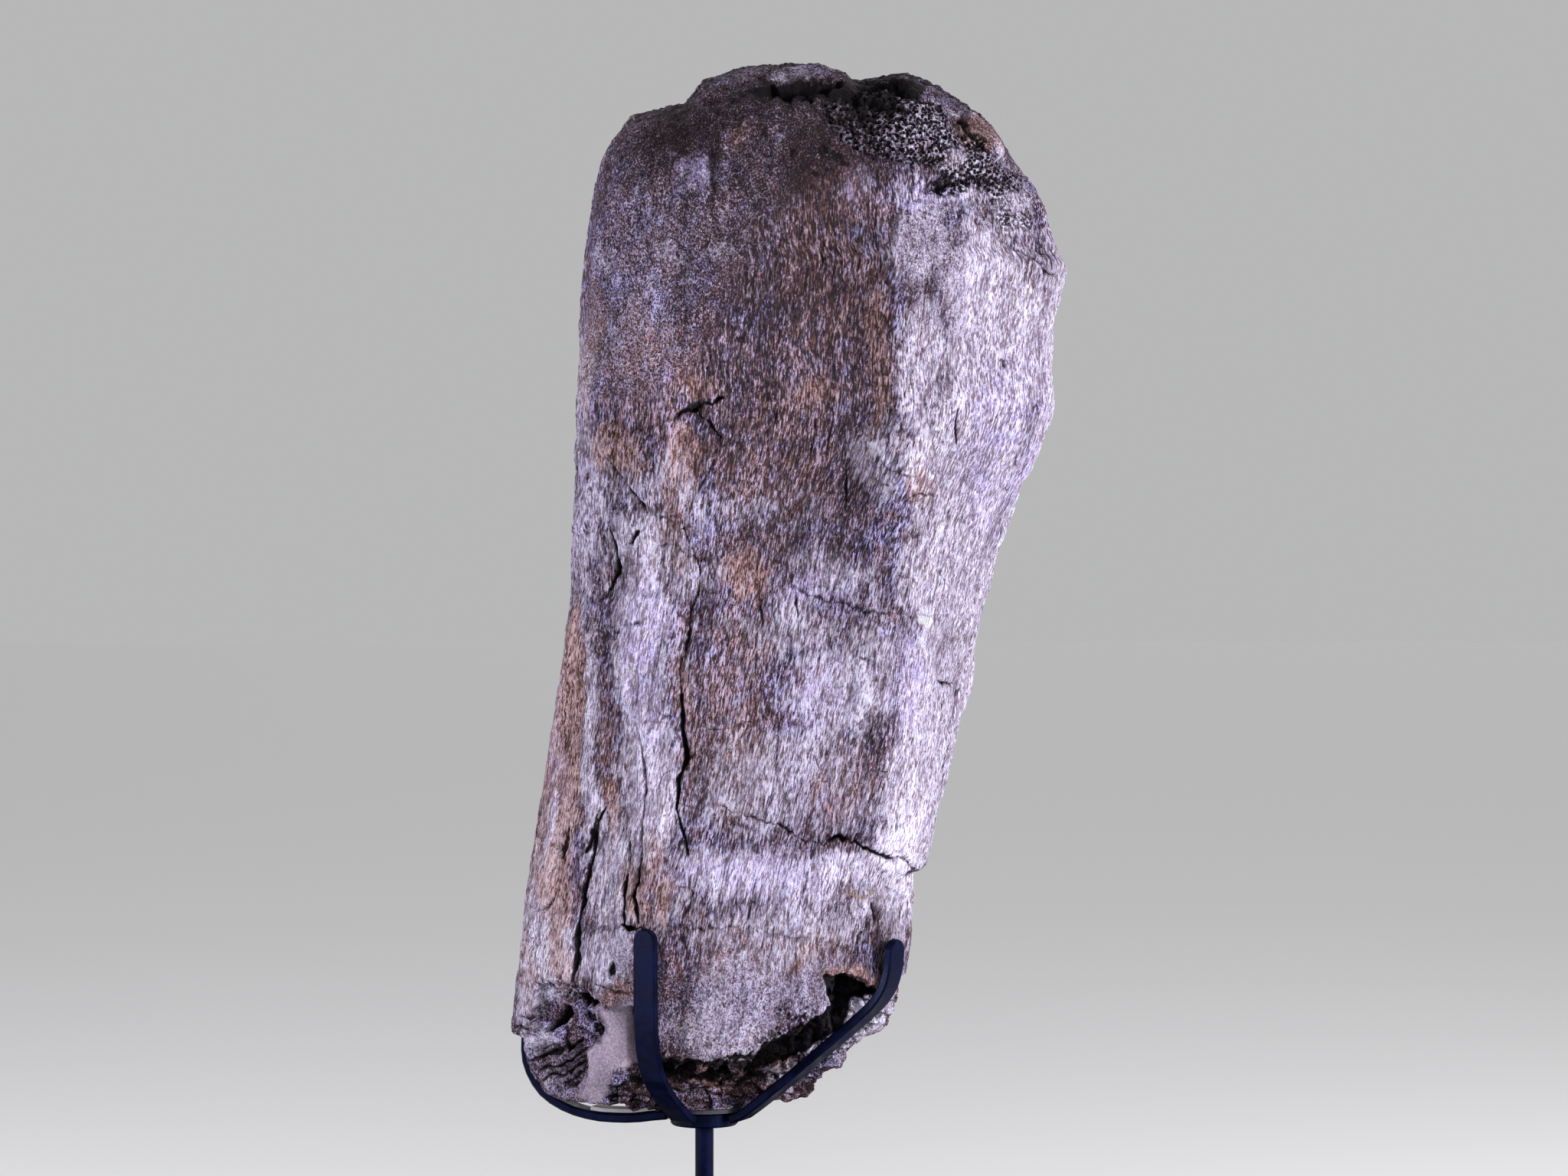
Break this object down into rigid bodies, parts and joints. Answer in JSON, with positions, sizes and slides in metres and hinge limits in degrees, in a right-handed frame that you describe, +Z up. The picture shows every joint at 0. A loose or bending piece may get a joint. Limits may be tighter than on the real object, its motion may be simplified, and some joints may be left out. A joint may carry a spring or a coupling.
{
  "type": "fossil sauropod limb bone on a museum stand",
  "caption": "Broken fossil limb bone of a large sauropod, standing upright in a painted flat-bar cradle on a post and plate.",
  "frame": {"origin": "middle of the base plate's underside, on the surface that the stand rests on", "axes": "+Z up along the post, +X to the right and -Y towards a viewer who faces the bone's front"},
  "size_m": [0.38, 0.26, 0.815],
  "materials": {
    "fossil_bone": "rough, fibrous and cracked, pale lavender grey with rust-brown stains",
    "black_paint": "satin blue-black paint over filed flat bar",
    "grey_pad": "matt",
    "pale_pad": "matt felt"
  },
  "bodies": {
    "root": {"bone": "fossil_bone", "front_arm": "black_paint", "right_arm": "black_paint", "left_arm": "black_paint", "cradle_hub": "black_paint", "post": "black_paint", "base_plate": "black_paint", "seat_pad": "grey_pad", "left_arm_pad": "pale_pad"}
  },
  "joints": []
}
